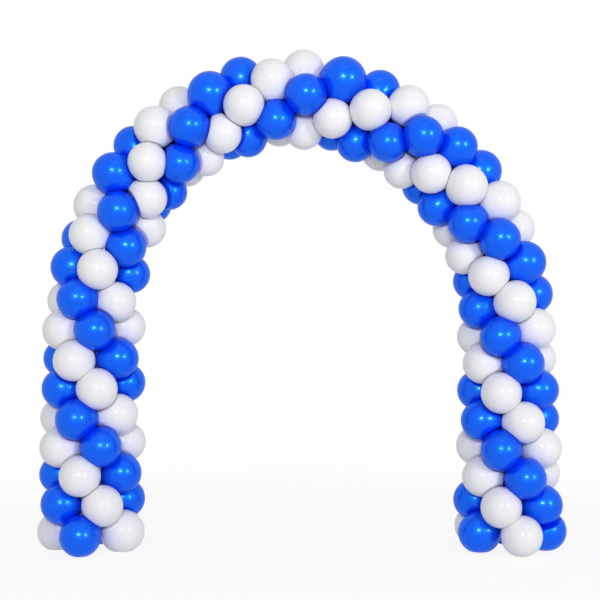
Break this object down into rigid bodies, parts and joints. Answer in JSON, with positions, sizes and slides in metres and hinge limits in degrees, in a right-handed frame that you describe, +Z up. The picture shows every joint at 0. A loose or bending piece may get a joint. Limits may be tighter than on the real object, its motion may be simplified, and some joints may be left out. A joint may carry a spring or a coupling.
{
  "type": "balloon arch",
  "caption": "Free-standing walk-through arch of round latex balloons, packed tight so that blue and white bands spiral up the legs and over the rounded top.",
  "frame": {"origin": "on the ground, midway between the feet", "axes": "+X across the archway towards the foot at the right of the front view, -Y towards the front, +Z up"},
  "size_m": [3.0442, 0.6251, 2.8778],
  "materials": {
    "blue_latex": "stretched glossy latex, saturated blue, denser at the neck",
    "white_latex": "stretched glossy latex, opaque white, denser at the neck"
  },
  "bodies": {
    "root": {"blue_foot_single": "blue_latex", "blue_pairs_00_01": "blue_latex", "blue_pairs_02_03": "blue_latex", "blue_pairs_04_05": "blue_latex", "blue_pairs_06_07": "blue_latex", "blue_pairs_08_09": "blue_latex", "blue_pairs_10_11": "blue_latex", "blue_pairs_12_13": "blue_latex", "blue_pairs_14_15": "blue_latex", "blue_pairs_16_17": "blue_latex", "blue_pairs_18_19": "blue_latex", "blue_pairs_20_21": "blue_latex", "blue_pairs_22_23": "blue_latex", "blue_pairs_24_25": "blue_latex", "blue_pairs_26_27": "blue_latex", "blue_pairs_28_29": "blue_latex", "blue_pairs_30_31": "blue_latex", "blue_pairs_32_33": "blue_latex", "blue_pairs_34_35": "blue_latex", "blue_pairs_36_37": "blue_latex", "white_pairs_00_01": "white_latex", "white_pairs_02_03": "white_latex", "white_pairs_04_05": "white_latex", "white_pairs_06_07": "white_latex", "white_pairs_08_09": "white_latex", "white_pairs_10_11": "white_latex", "white_pairs_12_13": "white_latex", "white_pairs_14_15": "white_latex", "white_pairs_16_17": "white_latex", "white_pairs_18_19": "white_latex", "white_pairs_20_21": "white_latex", "white_pairs_22_23": "white_latex", "white_pairs_24_25": "white_latex", "white_pairs_26_27": "white_latex", "white_pairs_28_29": "white_latex", "white_pairs_30_31": "white_latex", "white_pairs_32_33": "white_latex", "white_pairs_34_35": "white_latex", "white_pairs_36_37": "white_latex"}
  },
  "joints": []
}
